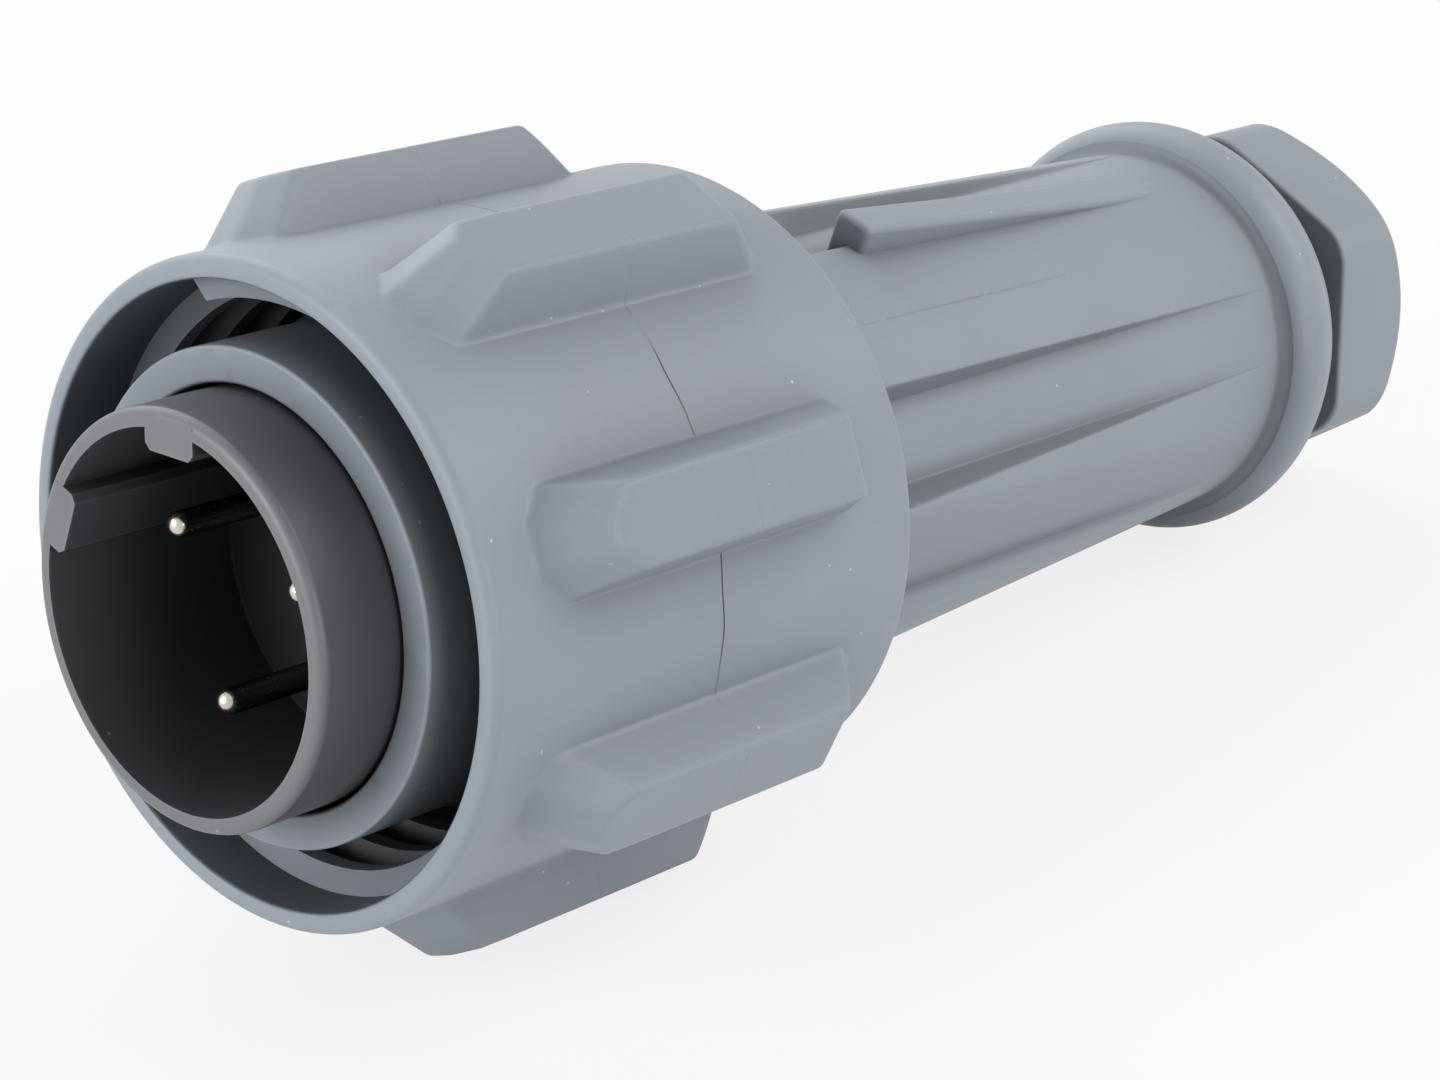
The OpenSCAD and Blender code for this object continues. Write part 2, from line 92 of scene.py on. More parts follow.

# Wear, painted light and painted highlight of the moulded plastic: tones are factors on a colour
NOISE_RANGE = (0.3, 0.7)  # what most values of a noise lie in
FLOW_TONES = (0.95, 1.05)
SPECK_TONE = 1.10
SPECK_SHARE = 0.35
EDGE_TONE = 1.6
EDGE_REACH = 0.35
EDGE_COSINES = (0.99, 0.86)  # between a face's normal and its rounded normal, from no edge to full edge
LEAST_WEAR = 0.15
# painted highlight along the coupling ring's rear edge
REAR_EDGE_HIGHLIGHT = 0.9
REAR_HIGHLIGHT_BAND = (0.3, 0.7)
NICKS = 0.7
FLECKS_PER_MM = 0.5
FLECK_RADII = (0.04, 0.07)  # from full to none, as shares of a fleck's cell
FLECK_STRENGTH = 0.7
FLECK_RARITY = 0.72
GLOSS_SPREAD = 0.07
LIT_RIM_DEPTH = 2.0
LIT_RIM_COSINES = (0.15, 0.9)

# Wear of metal and rubber
CLOUD_TONE = 0.9
PLATED_GLOSS = (0.7, 1.4)
BLOOM_TONE = 2.2
BLOOM_SHARE = 0.5
RUBBER_GLOSS = (0.62, 0.8)

# Shade in gaps: reach, the openness that counts as open, and the shade of the narrowest places
PLAIN_GAP = (8.0, 0.8, 0.35)
SOCKET_GAP = (26.0, 0.5, 0.5)
CAGE_GAP = (8.0, 0.8, 0.5)
GAP_CLOSED = 0.15
CREASE_REACH = 1.6
CREASE_SHADE = 0.72
CREASE_OPENNESS = (0.45, 0.9)
SOCKET_REACH = 26.0
SOCKET_SHADED_X = 9.0
SOCKET_SHADE = 0.38
PIN_OPENNESS = (0.42, 0.70)
PIN_SHADE = 0.07
# Painted shade carried as an attribute of a piece's points: its name, its factor at 1, and its largest value
SHADE_ATTRIBUTE = "painted_shade"
PAINTED_SHADE_AT_ONE = 0.70
MOST_PAINTED_SHADE = 2.0

# Coupling ring
RING_BORE = 21.0
RING_R = 22.6
RING_LEN = 39.6
LIP_R = 0.8
LIP_INNER_R = 0.3
# painted shade in the ring's bore
BORE_PAINTED_SHADE = 1.7
RING_EDGE = 0.4
FINE_EDGE = 0.15
FLANGE_X = 20.0
FLANGE_END = 24.0
FLANGE_BORE = 17.05
FLANGE_ROOT = 0.3

# Parting line of the ring: its section is shifts along x with shares of its depth, and its waves
# are (size, count round the ring, phase)
PARTING_X = 20.6
PARTING_DEPTH = 0.16
PARTING_SECTION = (
    (-0.30, 0.0),
    (-0.14, -0.25),
    (-0.08, -0.2),
    (-0.03, 0.8),
    (0.03, 1.0),
    (0.09, 0.0),
    (0.30, 0.0),
)
WANDER_WAVES = ((0.16, 3, 0.6), (0.09, 11, 2.0), (0.05, 29, 0.0))
DEPTH_WAVES = ((0.30, 5, 1.1), (0.22, 17, 0.4))
DEPTH_MEAN = 0.62
DEPTH_LEAST = 0.12
RIB_PARTING = 0.12  # share of the depth on the ribs' tops
RIB_TOP_BAND = 0.5
WALL_PARTING = 0.45  # and on their walls
RIB_FOOT_BAND = 0.4

# Ribs of the coupling ring
RIB_COUNT = 8
RIB_R = 26.5
RIB_W = 5.6
RIB_DRAFT = 13.5
RIB_FRONT = 4.2
RIB_FOOT_END = 34.6
RIB_END_SLOPE = 45.0
NOSE_W = 3.0
NOSE_TURN = 45.0
NOSE_SLOPE = 52.0
TAIL_W = 4.4
TAIL_SLOPE = 60.0
RIB_ROUND = 0.55
RIB_BLEND = 0.3
RIB_CRISP = 4  # the power that keeps rounded edges crisp
SEARCH_SPAN = (1.0, RIB_R + 5.0)
SEARCH_STEPS = 40

# Mesh of the ring: angles from a rib's middle, and stations with close rows at the ribs' ends
RIB_TOP_ANGLE = 4.5
RIB_TOP_STEP = 0.5
RIB_WALL_ANGLE = 11.5
RIB_WALL_STEP = 0.35
BETWEEN_RIBS = 7
ROW_STEP = 0.2
LIP_ROWS = (LIP_R, 2.0, 3.0)
NOSE_ROWS = (3.4, 10.0)
FRONT_ROWS = (12.0, 15.0, 18.0)
MIDDLE_ROWS = (23.5, 26.0)
TAIL_ROWS = (28.5, 36.6)
REAR_ROWS = (37.5,)

# Body
SLEEVE_R = 16.75
SLEEVE_EDGE = 0.25
INSERT_BORE = 14.3
INSERT_SEAT = 30.0
O_RING_GROOVE = (12.05, 13.95, 15.6)
CLIP_GROOVE = (18.15, 19.75, 15.75)
SHOULDER_X = 24.3
GRIP_FRONT_R = 18.3
GRIP_BACK_R = 15.0
FILLET_X = 95.283
FILLET_R = 1.0
# painted shade in the collar's fillet
FILLET_PAINTED_SHADE = 1.4
COLLAR_X = 98.4
COLLAR_R = 17.27
CROWN_FRONT = 2.4
CROWN_BACK = 5.0
COLLAR_END = 100.65
STEP_R = 16.0
STEP_END = 102.15
NECK_R = 11.0
NECK_END = 111.075
CHAMBER_R = 9.5
CHAMBER_X = 93.875
CABLE_HOLE_R = 6.2
WIRING_R = 12.1
WIRING_END = 88.875
BODY_EDGE = 0.25

# Flutes of the grip: two with both walls, and an open one with a flat floor and one wall
FLUTE_ANGLES = (2.9, 72.9)
FLUTE_W = 6.4
FLUTE_DRAFT = 38.0
FLUTE_START = 30.0
FLUTE_END = 94.483
FLUTE_REACH = 30.0  # angle from a flute's middle within which it cuts
FLUTE_BLEND = 0.25
BLEND_SHARE = 0.8
LEAST_DEPTH = 0.01
FLOOR_SHADE_SPAN = 4.0  # angle over which the painted shade on a flute's floor thins out
OPEN_ANGLE = 118.3
OPEN_WALL = 1.5
OPEN_START = 31.0
OPEN_REACH = 50.0
# painted shade on the open flute's floor beside its wall, and how far up the wall it reaches
OPEN_SHADE_SPAN = 7.0
OPEN_SHADE_TOP = 1.5

# Mesh of the grip: least angles of a wall and a land, columns from each edge of the flutes to the
# next over half a turn, and rows that lie closer toward the collar
LEAST_WALL = 0.3
LEAST_LAND = 0.8
GRIP_COLUMNS = (8, 10, 8, 22, 8, 10, 8, 10, 14, 8, 20)
WALL_CLIP = (-30.0, 34.0)
FLOOR_CLIP = 60.0
FLUTE_STEP = 0.02  # half the distance between the rows where a flute starts
LONG_ROWS = (34.0, 88.0, 2.0)
CLOSE_ROWS = (88.0, FLUTE_END, 0.8)
LAST_ROW = FLUTE_END + 0.1

# Marker ridge and flash of the grip
RIDGE_ANGLE = 16.6
RIDGE_W = 3.2
RIDGE_START = 51.7
RIDGE_END = 89.003
RIDGE_H = 2.1
RIDGE_ROUND = 0.55
RIDGE_NOSE = 0.9  # how far the front end draws in, as a share of its round
RIDGE_NOSE_SECTIONS = 6
RIDGE_STRAIGHT = 3.0
RIDGE_STRAIGHT_SECTIONS = 10
RIDGE_FOOT = 14.2
RIDGE_RUN_OUT = 3.0
FLASH_ANGLE = 42.0
FLASH_SPAN = (46.0, 71.0)
FLASH_W = 0.3
FLASH_H = 0.07
FLASH_END = 0.25  # height of its ends, as a share
FLASH_RIPPLE = 0.2
FLASH_RIPPLE_TURN = 3.1  # radians per mm
FLASH_SUNK = 0.1
FLASH_SECTIONS = 25

# Gland nut
NUT_ANGLE = 25.2
NUT_R = 13.5
NUT_CORNER = 4.0
NUT_FRONT = 107.2
NUT_END = 118.1
NUT_FACE = 115.5
NUT_BORE = 11.8
NUT_ROUND = 2.4
NUT_BEVEL = 41.0
NUT_EDGE = 0.35
NUT_BLEND = 0.35
NUT_STEP = 1.5
NUT_EDGE_ROWS = 5
NUT_ROWS = (110.0, 112.5)
BEVEL_START = 113.6
BEVEL_STEP = 0.18
HALF_FLAT = 30.0  # degrees

# Coupling ring's coarse inside thread
RING_CREST = 19.4
RING_LEAD = 4.5
RING_THREAD_START = -22.0
RING_THREAD_X = 1.575
RING_THREAD_TURNS = 3.56
RING_THREAD_FADE = 40.0
RING_THREAD_STEPS = 120
RING_ROOT_WIDTH = 2.6
RING_CREST_WIDTH = 1.3
DEEP_SWEEP = (440.0, 560.0)  # degrees of thread over which painted shade comes in
DEEP_PAINTED_SHADE = 1.7

# Gland thread: on the neck, and inside the nut half a pitch away
GLAND_PITCH = 1.5
NECK_CREST = 11.55
NECK_X = 102.6
NECK_TURNS = 4.8
NUT_CREST = 11.3
NUT_X = 107.6
NUT_TURNS = 4.6
GLAND_FADE = 60.0
GLAND_STEPS = 72
GLAND_ROOT_WIDTH = 0.95
GLAND_CREST_WIDTH = 0.3
EMBED = 0.08  # how far a thread's root lies inside its wall
LEAST_HEIGHT = 0.02  # share of the height at a thread's very end

# Meshes
SHARP_ANGLE = 40.0
WELD_REACH = 0.002

# Where the plug lies: the ring turns about the plug's axis, in the middle of its flange
joints = {joint["name"]: joint for joint in frame["joints"]}
AXIS = np.array(joints["ring_turn"]["axis"])
SIDE = np.array((0.0, 1.0, 0.0))
UP = np.cross(AXIS, SIDE)
ORIGIN = np.array(joints["ring_turn"]["pos_m"]) - AXIS * (FLANGE_X + FLANGE_END) / 2 * MM


def to_world(x, radius, angle):
    """World points for stations, radii and angles, which may be numbers or grids."""
    x, radius, angle = np.broadcast_arrays(x, radius, np.radians(angle))
    points = np.multiply.outer(x, AXIS)
    points = points - np.multiply.outer(radius * np.sin(angle), SIDE)
    points = points + np.multiply.outer(radius * np.cos(angle), UP)
    return (ORIGIN + points * MM).reshape(-1, 3)


# Node trees of materials

class Graph:
    """A material's node tree, with short calls that make and join its nodes."""

    def __init__(self, name):
        self.material = bpy.data.materials.new(name)
        self.material.use_nodes = True
        self.tree = self.material.node_tree
        self.tree.nodes.clear()
        self.out = self.add("ShaderNodeOutputMaterial")

    def add(self, kind, **settings):
        node = self.tree.nodes.new(kind)
        for key, value in settings.items():
            setattr(node, key, value)
        return node

    def join(self, source, target):
        self.tree.links.new(source, target)

    def put(self, socket, value):
        """Joins a socket to another, or sets its value."""
        if isinstance(value, bpy.types.NodeSocket):
            self.join(value, socket)
        else:
            socket.default_value = value

    def give(self, node, **inputs):
        """Sets a node's inputs by name."""
        for key, value in inputs.items():
            self.put(node.inputs[key.replace("_", " ")], value)
        return node

    def millimetres(self):
        """Object coordinates in millimetres: the part's own frame, carried by each body."""
        coords = self.add("ShaderNodeTexCoord")
        scale = self.add("ShaderNodeVectorMath", operation="SCALE")
        self.join(coords.outputs["Object"], scale.inputs[0])
        scale.inputs["Scale"].default_value = 1.0 / MM
        return scale.outputs["Vector"]

    def dot(self, first, second):
        """Dot product of a socket with a socket or a vector."""
        node = self.add("ShaderNodeVectorMath", operation="DOT_PRODUCT")
        self.put(node.inputs[0], first)
        self.put(node.inputs[1], second)
        return node.outputs["Value"]

    def along(self, vector):
        """Station x of a point given in millimetres of the part's frame."""
        return self.math("SUBTRACT", self.dot(vector, AXIS), float(ORIGIN @ AXIS) / MM)

    def noise(self, vector, per_mm, detail=2.0, roughness=0.5):
        node = self.add("ShaderNodeTexNoise")
        self.give(node, Vector=vector, Scale=per_mm, Detail=detail, Roughness=roughness)
        return node.outputs["Fac"]

    def remap(self, value, source, target=(0.0, 1.0)):
        """A value carried from one range to another, and held at the ends."""
        node = self.add("ShaderNodeMapRange", clamp=True)
        low, high = source
        to_low, to_high = target
        self.give(node, Value=value, From_Min=low, From_Max=high, To_Min=to_low, To_Max=to_high)
        return node.outputs["Result"]

    def math(self, operation, first, second):
        node = self.add("ShaderNodeMath", operation=operation)
        self.put(node.inputs[0], first)
        self.put(node.inputs[1], second)
        return node.outputs["Value"]

    def tint(self, factor, first, second, blend="MIX"):
        """Blend of two colours; each is a colour or a socket."""
        node = self.add("ShaderNodeMix", data_type="RGBA", blend_type=blend)
        self.put(node.inputs["Factor"], factor)
        for socket, value in ((node.inputs[6], first), (node.inputs[7], second)):
            self.put(socket, (*value, 1.0) if isinstance(value, tuple) else value)
        return node.outputs[2]

    def darken(self, colour, factor):
        return self.tint(1.0, colour, factor, "MULTIPLY")

    def edges(self, radius):
        """Close to 1 along edges and close to 0 on open faces."""
        bevel = self.give(self.add("ShaderNodeBevel", samples=2), Radius=radius * MM)
        flat = self.add("ShaderNodeNewGeometry")
        return self.remap(self.dot(bevel.outputs["Normal"], flat.outputs["Normal"]), EDGE_COSINES)

    def flecks(self, vector):
        """Close to 1 on a few small spots, and 0 elsewhere."""
        cells = self.give(self.add("ShaderNodeTexVoronoi"), Vector=vector, Scale=FLECKS_PER_MM)
        spot = self.remap(cells.outputs["Distance"], FLECK_RADII, (FLECK_STRENGTH, 0.0))
        return self.math("MULTIPLY", spot, self.math("GREATER_THAN", cells.outputs["Color"], FLECK_RARITY))

    def openness(self, reach):
        """1 on open faces, falling toward 0 in narrow gaps of about that reach."""
        node = self.give(self.add("ShaderNodeAmbientOcclusion", samples=1), Distance=reach * MM)
        return node.outputs["AO"]

    def bump(self, height, depth, strength, under=None):
        """Bump of a height field, depth in mm."""
        node = self.add("ShaderNodeBump")
        self.give(node, Height=height, Distance=depth * MM, Strength=strength)
        if under is not None:
            self.join(under, node.inputs["Normal"])
        return node.outputs["Normal"]

    def surface(self, **inputs):
        shader = self.give(self.add("ShaderNodeBsdfPrincipled"), **inputs)
        self.join(shader.outputs["BSDF"], self.out.inputs["Surface"])
        return self.material


def shade(colour, factor):
    return tuple(channel * factor for channel in colour)


# Moulded plastic

def lit_front_and_socket_shade(g, mm, paint, front):
    """Painted light: a paler colour on what faces forward at the mating end; and painted shade in the socket
    behind it.
    """
    facing = g.dot(g.add("ShaderNodeTexCoord").outputs["Normal"], -AXIS)
    station = g.along(mm)
    rim = g.math(
        "MULTIPLY",
        g.remap(facing, LIT_RIM_COSINES),
        g.remap(station, (0.0, LIT_RIM_DEPTH), (1.0, 0.0)),
    )
    # painted light on forward faces near the rim
    paint = g.tint(rim, paint, front)
    # painted shade deeper in the socket
    return g.darken(paint, g.remap(station, (0.0, SOCKET_SHADED_X), (1.0, SOCKET_SHADE)))


def worn_and_highlit_edges(g, mm, wear_and_highlight):
    """How far the edges are paled: by wear from handling and in nicks, and by painted highlight, most of all
    along the coupling ring's rear edge.
    """
    dust = g.noise(mm, per_mm=0.9, detail=4.0, roughness=0.7)
    nicks = g.noise(mm, per_mm=0.75, detail=3.0, roughness=0.65)
    from_rear = g.math("ABSOLUTE", g.math("SUBTRACT", g.along(mm), RING_LEN), 0.0)
    edge_paling = g.math(
        "MAXIMUM",
        g.remap(dust, (0.35, 0.7), (LEAST_WEAR * wear_and_highlight, wear_and_highlight)),
        g.remap(from_rear, REAR_HIGHLIGHT_BAND, (REAR_EDGE_HIGHLIGHT, 0.0)),
    )
    edge_paling = g.math("MAXIMUM", edge_paling, g.remap(nicks, (0.60, 0.66), (0.0, NICKS)))
    return g.math("MULTIPLY", g.edges(EDGE_REACH), edge_paling)


def painted_shade_factor(g, gap):
    """Factor of painted shade: darker in gaps and creases, and where a piece's painted-shade attribute marks
    it.
    """
    reach, open_from, gap_shade = gap
    hollow = g.remap(g.openness(reach), (GAP_CLOSED, open_from), (gap_shade, 1.0))
    crease = g.remap(g.openness(CREASE_REACH), CREASE_OPENNESS, (CREASE_SHADE, 1.0))
    painted_shade = g.add("ShaderNodeAttribute", attribute_name=SHADE_ATTRIBUTE).outputs["Fac"]
    most_shade = 1.0 - MOST_PAINTED_SHADE * (1.0 - PAINTED_SHADE_AT_ONE)
    painted_shading = g.remap(painted_shade, (0.0, MOST_PAINTED_SHADE), (1.0, most_shade))
    return g.math("MULTIPLY", g.math("MULTIPLY", hollow, crease), painted_shading)


def moulded(name, colour, rough, grain, wear_and_highlight, gap, front=None):
    """Moulded plastic: flow mottling, fine matt grain, uneven gloss, edges paled by wear and painted
    highlight, and painted shade in gaps and creases.

    A front is a paler colour painted as light on the forward faces at the mating end.
    """
    g = Graph(name)
    mm = g.millimetres()
    flow = g.noise(mm, per_mm=0.07, detail=3.0, roughness=0.6)
    speck = g.noise(mm, per_mm=2.4)
    dark, pale = (shade(colour, tone) for tone in FLOW_TONES)
    paint = g.tint(g.remap(flow, NOISE_RANGE), dark, pale)
    paint = g.tint(g.remap(speck, (0.3, 0.75), (0.0, SPECK_SHARE)), paint, shade(colour, SPECK_TONE))
    if front:
        paint = lit_front_and_socket_shade(g, mm, paint, front)
    # edges paled by wear and by painted highlight
    paint = g.tint(worn_and_highlit_edges(g, mm, wear_and_highlight), paint, shade(front or colour, EDGE_TONE))
    paint = g.tint(g.flecks(mm), paint, FLECK_COLOUR)
    # painted shade in gaps, in creases and where the painted-shade attribute marks
    paint = g.darken(paint, painted_shade_factor(g, gap))
    uneven = g.math("ADD", flow, speck)
    gloss = g.remap(uneven, (0.6, 1.4), (rough - GLOSS_SPREAD, rough + GLOSS_SPREAD))
    wave = g.bump(g.noise(mm, per_mm=0.35), depth=0.05, strength=0.35)
    pebble = g.noise(mm, per_mm=5.5, roughness=0.6)
    normal = g.bump(pebble, depth=0.02, strength=grain, under=wave)
    return g.surface(Base_Color=paint, Roughness=gloss, Normal=normal)


# Metal, rubber and floor

def plated(name, colour, rough):
    """Plated metal: faint turning lines, uneven gloss, and painted shade on its colour and reflection where
    it stands deep in a socket.
    """
    g = Graph(name)
    mm = g.millimetres()
    cloud = g.noise(mm, per_mm=0.8, detail=3.0)
    lines = g.noise(mm, per_mm=9.0)
    tone = g.tint(g.remap(cloud, NOISE_RANGE), shade(colour, CLOUD_TONE), colour)
    # painted shade: colour and reflection darken where the metal stands in a narrow socket
    light = g.remap(g.openness(SOCKET_REACH), PIN_OPENNESS, (PIN_SHADE, 1.0))
    tone = g.darken(tone, light)
    gloss = g.remap(lines, NOISE_RANGE, [rough * factor for factor in PLATED_GLOSS])
    normal = g.bump(lines, depth=0.01, strength=0.15)
    return g.surface(Base_Color=tone, Specular_Tint=light, Metallic=1.0, Roughness=gloss, Normal=normal)


def rubber(name, colour):
    """Soft matt rubber with a fine bloom."""
    g = Graph(name)
    mm = g.millimetres()
    bloom = g.noise(mm, per_mm=0.5, detail=4.0, roughness=0.65)
    grain = g.noise(mm, per_mm=6.0)
    tone = g.tint(g.remap(bloom, (0.4, 0.75), (0.0, BLOOM_SHARE)), colour, shade(colour, BLOOM_TONE))
    gloss = g.remap(bloom, NOISE_RANGE, RUBBER_GLOSS)
    return g.surface(Base_Color=tone, Roughness=gloss, Normal=g.bump(grain, depth=0.02, strength=0.3))


def seen_rays(tree):
    """1 for rays that look at a surface, from the camera or by reflection, and 0 for those that light it."""
    path = tree.nodes.new("ShaderNodeLightPath")
    seen = path.outputs["Is Camera Ray"]
    for other in ("Is Glossy Ray", "Is Transmission Ray"):
        both = tree.nodes.new("ShaderNodeMath")
        both.operation = "MAXIMUM"
        tree.links.new(seen, both.inputs[0])
        tree.links.new(path.outputs[other], both.inputs[1])
        seen = both.outputs["Value"]
    return seen


def pale_floor(name):
    """Pale matt floor that reads near white, keeps the object's shadow and is white far away."""
    g = Graph(name)
    diffuse = g.give(g.add("ShaderNodeBsdfDiffuse"), Color=(*FLOOR_COLOUR, 1.0))
    glow = g.give(g.add("ShaderNodeEmission"), Color=(*WHITE, 1.0), Strength=1.0)
    mix = g.add("ShaderNodeMixShader")
    away = g.add("ShaderNodeVectorMath", operation="LENGTH")
    g.join(g.add("ShaderNodeTexCoord").outputs["Object"], away.inputs[0])
    share = g.remap(away.outputs["Value"], FLOOR_FADE, (FLOOR_GLOW, 1.0))
    g.join(g.math("MULTIPLY", seen_rays(g.tree), share), mix.inputs["Fac"])
    g.join(diffuse.outputs["BSDF"], mix.inputs[1])
    g.join(glow.outputs["Emission"], mix.inputs[2])
    g.join(mix.outputs["Shader"], g.out.inputs["Surface"])
    return g.material


MATERIALS = {
    "grey_plastic": moulded(
        "grey_plastic_look", GREY, rough=0.50, grain=0.22, wear_and_highlight=0.10, gap=PLAIN_GAP,
    ),
    "insert_plastic": moulded(
        "insert_plastic_look", DARK_GREY, rough=0.42, grain=0.15, wear_and_highlight=0.80, gap=SOCKET_GAP, front=LIT_RIM_GREY,
    ),
    "contact_metal": plated("contact_metal_look", CONTACT_COLOUR, rough=0.20),
    "screw_steel": plated("screw_steel_look", SCREW_COLOUR, rough=0.30),
    "seal_rubber": rubber("seal_rubber_look", RUBBER_BLACK),
    "spring_steel": plated("spring_steel_look", SPRING_COLOUR, rough=0.28),
    "cage_plastic": moulded(
        "cage_plastic_look", CAGE_COLOUR, rough=0.45, grain=0.15, wear_and_highlight=0.15, gap=CAGE_GAP,
    ),
}


# Meshes

def smooth_normals(thing):
    """Normals that follow the large faces, with sharp edges kept."""
    modifier = thing.modifiers.new("normals", "WEIGHTED_NORMAL")
    modifier.keep_sharp = True


def dress_node(node, slot):
    """The slot's material on a CAD node."""
    for holder in node.material_slots:
        holder.material = MATERIALS[slot]
    weld = node.modifiers.new("weld", "WELD")
    weld.merge_threshold = WELD_REACH * MM
    smooth_normals(node)


def mesh_piece(name, verts, faces, body, slot):
    """A closed mesh piece that rides on a body and takes a slot's finish."""
    mesh = bpy.data.meshes.new(name)
    mesh.from_pydata(verts, [], faces)
    mesh.validate()
    mesh.shade_smooth()
    mesh.set_sharp_from_angle(angle=math.radians(SHARP_ANGLE))
    mesh.update()
    piece = bpy.data.objects.new(name, mesh)
    bpy.context.scene.collection.objects.link(piece)
    mesh.materials.append(MATERIALS[slot])
    smooth_normals(piece)
    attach(piece, body)
    return piece


def give_painted_shade(piece, painted_shade):
    """Painted shade of each of a piece's points: 0 is none, and 1 darkens the finish by the painted shade
    factor.
    """
    piece.data.attributes.new(SHADE_ATTRIBUTE, "FLOAT", "POINT").data.foreach_set("value", np.ravel(painted_shade))


def skin(name, x, radius, angle, body, slot, painted_shade=None):
    """A closed mesh through grids of points: each row goes round the axis, the last row joins the first.

    A grid of painted shade darkens the finish where shade falls.
    """
    rows, columns = radius.shape
    here = np.arange(rows * columns).reshape(rows, columns)
    behind = np.roll(here, -1, axis=0)
    faces = np.stack([here, np.roll(here, -1, axis=1), np.roll(behind, -1, axis=1), behind], axis=-1)
    points = to_world(x, radius, angle)
    piece = mesh_piece(name, points.tolist(), faces.reshape(-1, 4).tolist(), body, slot)
    if painted_shade is not None:
        give_painted_shade(piece, painted_shade)
    return piece


def loft(name, sections, body, slot):
    """A closed bar through sections of world points, with flat ends."""
    size = len(sections[0])
    verts = [tuple(point) for section in sections for point in section]
    faces = [tuple(reversed(range(size)))]
    for row in range(len(sections) - 1):
        for side in range(size):
            a = row * size + side
            b = row * size + (side + 1) % size
            faces.append((a, b, b + size, a + size))
    faces.append(tuple(range(len(verts) - size, len(verts))))
    return mesh_piece(name, verts, faces, body, slot)


def arc(x, radius, size, start, end, steps):
    """Points of station and radius along an arc, both ends included."""
    turns = np.radians(np.linspace(start, end, steps + 1))
    return [(x + size * math.cos(turn), radius + size * math.sin(turn)) for turn in turns]


def larger(first, second, blend):
    """The larger of two values, with a round transition; a negative blend gives the smaller."""
    share = np.clip(0.5 + 0.5 * (first - second) / blend, 0.0, 1.0)
    return second + (first - second) * share + blend * share * (1.0 - share)


# Coupling ring

def rib_faces(x, off):
    """Faces of a rib at stations and angles from its middle, as pairs of reach and offset.

    A point of radius r lies on a face where reach * r - offset is 0, and outside it where that is more.
    """
    turn = np.radians(np.abs(off))
    sin = np.sin(turn)
    cos = np.cos(turn)
    lean = math.radians(RIB_DRAFT)
    slope = math.radians(RIB_END_SLOPE)
    plan = math.radians(NOSE_TURN)
    faces = [
        (cos, RIB_R),
        (sin * math.cos(lean) + cos * math.sin(lean), RIB_W / 2 * math.cos(lean) + RIB_R * math.sin(lean)),
    ]
    ends = ((x - RIB_FRONT, NOSE_W, NOSE_SLOPE), (RIB_FOOT_END - x, TAIL_W, TAIL_SLOPE))
    for run, width, corner in ends:
        rise = math.radians(corner)
        faces.append((cos * math.cos(slope), RING_R * math.cos(slope) + run * math.sin(slope)))
        faces.append((
            cos * math.cos(rise) + sin * math.sin(rise) * math.sin(plan),
            RING_R * math.cos(rise) + (run * math.cos(plan) + width / 2 * math.sin(plan)) * math.sin(rise),
        ))
    return faces


def rib_radius(x, off):
    """Radius of a rib with rounded edges, at stations and angles from its middle.

    It is found by halving the search span: it is the radius at which the overlaps of all the faces'
    rounding zones, raised to a power, add up to 1.
    """
    faces = rib_faces(x, off)
    shape = np.broadcast(x, off).shape
    low, high = (np.full(shape, end) for end in SEARCH_SPAN)
    for _ in range(SEARCH_STEPS):
        middle = (low + high) / 2
        overlaps = (np.maximum(1.0 + (reach * middle - offset) / RIB_ROUND, 0.0) for reach, offset in faces)
        outside = sum(overlap ** RIB_CRISP for overlap in overlaps) > 1.0
        high = np.where(outside, middle, high)
        low = np.where(outside, low, middle)
    return (low + high) / 2


def ring_columns():
    """Angles round the ring, close together at the ribs' edges, and their distance from the nearest rib."""
    half_step = 180.0 / RIB_COUNT
    half = np.concatenate([
        np.arange(0.0, RIB_TOP_ANGLE, RIB_TOP_STEP),
        np.arange(RIB_TOP_ANGLE, RIB_WALL_ANGLE, RIB_WALL_STEP),
        np.linspace(RIB_WALL_ANGLE, half_step, BETWEEN_RIBS),
    ])
    off = np.concatenate([-half[:0:-1], half[:-1]])
    middles = half_step * (2 * np.arange(RIB_COUNT) + 1)
    return np.add.outer(middles, off).ravel(), np.tile(off, RIB_COUNT)


def waves(turn, parts, mean=0.0):
    return sum((size * np.sin(count * turn + phase) for size, count, phase in parts), mean)


def ring_outside(angle, off):
    """Grids of stations and radii over the ribs, from front to rear, with the wandering parting line."""
    shift, share = np.array(PARTING_SECTION).T
    before = np.concatenate([LIP_ROWS, np.arange(*NOSE_ROWS, ROW_STEP), FRONT_ROWS])
    after = np.concatenate([MIDDLE_ROWS, np.arange(*TAIL_ROWS, ROW_STEP), REAR_ROWS])
    around = (len(before), len(after))
    stations = np.concatenate([before, PARTING_X + shift, after])
    in_parting = np.pad(np.ones(len(shift)), around)
    sunk = np.pad(share * PARTING_DEPTH, around)

    turn = np.radians(angle)
    x = stations[:, None] + in_parting[:, None] * waves(turn, WANDER_WAVES)
    deep = np.clip(waves(turn, DEPTH_WAVES, DEPTH_MEAN), DEPTH_LEAST, 1.0)
    radius = larger(np.full((1, 1), RING_R), rib_radius(x, off[None, :]), RIB_BLEND)
    below_top = np.where(radius > RING_R + RIB_FOOT_BAND, WALL_PARTING, 1.0)
    fade = np.where(radius > RIB_R - RIB_TOP_BAND, RIB_PARTING, below_top)
    return x, radius - sunk[:, None] * deep[None, :] * fade


